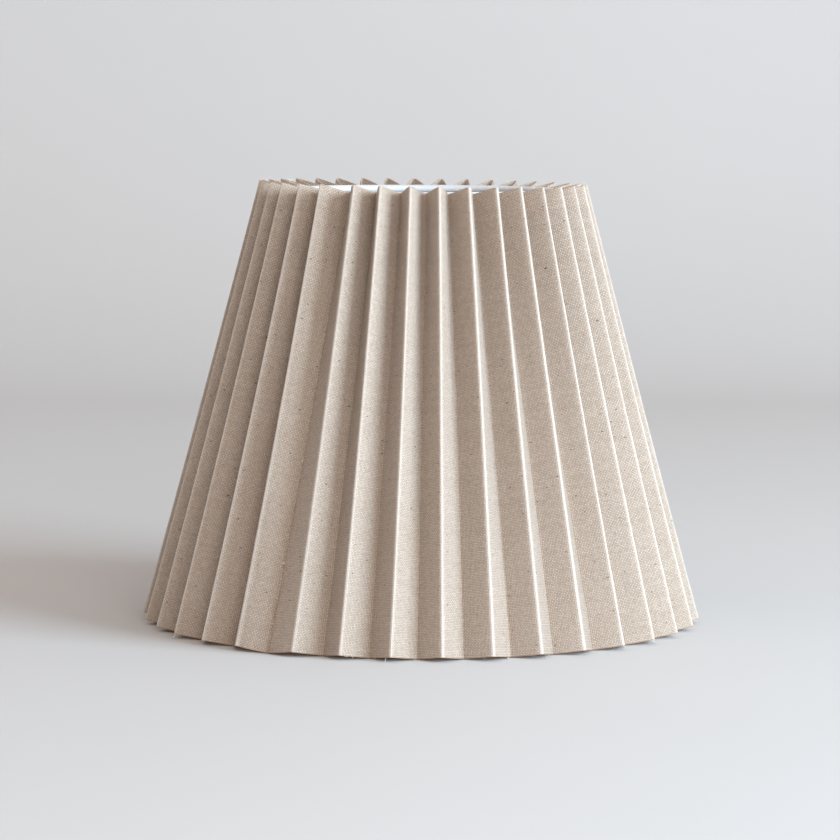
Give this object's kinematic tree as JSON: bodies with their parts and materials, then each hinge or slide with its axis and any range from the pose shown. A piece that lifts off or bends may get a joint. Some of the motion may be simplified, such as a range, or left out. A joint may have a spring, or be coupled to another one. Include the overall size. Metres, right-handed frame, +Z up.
{
  "type": "pleated lamp shade",
  "caption": "Empire table lamp shade: fan-pleated linen cover on a rigid cone liner with bound wire rings and a recessed fitter.",
  "frame": {"origin": "on the shade's axis, level with the lowest points of the lower hem", "axes": "+Z up along the shade's axis, -Y towards the front, the cover's lap seam 32.4 degrees from the front towards -X"},
  "size_m": [0.2798, 0.2796, 0.2196],
  "materials": {
    "linen": "undyed oatmeal linen, plain weave with slubs and coloured flecks",
    "liner_sheet": "matt white rigid sheet, slightly translucent",
    "binding_cloth": "fine white cotton tape",
    "adhesive_tape": "clear double-sided adhesive tape",
    "ring_wire": "white powder-coated steel wire",
    "fitter_steel": "white powder-coated stamped steel",
    "ring_plastic": "moulded white thermoset, slightly glossy"
  },
  "bodies": {
    "shade": {"pleated_cover": "linen", "cover_seam_tape": "adhesive_tape", "liner": "liner_sheet", "liner_seam_tape": "adhesive_tape", "top_ring": "ring_wire", "bottom_ring": "ring_wire", "top_binding": "binding_cloth", "bottom_binding": "binding_cloth", "top_glue_tape": "adhesive_tape", "bottom_glue_tape": "adhesive_tape", "fitter_ring": "fitter_steel", "fitter_arm_1": "ring_wire", "fitter_arm_2": "ring_wire", "fitter_arm_3": "ring_wire"},
    "retaining_ring": {"retaining_ring": "ring_plastic"}
  },
  "joints": [
    {"name": "retaining_ring_lift", "type": "slide", "parent": "shade", "child": "retaining_ring", "axis": [0, 0, 1], "range_m": [0, 0.19]}
  ]
}
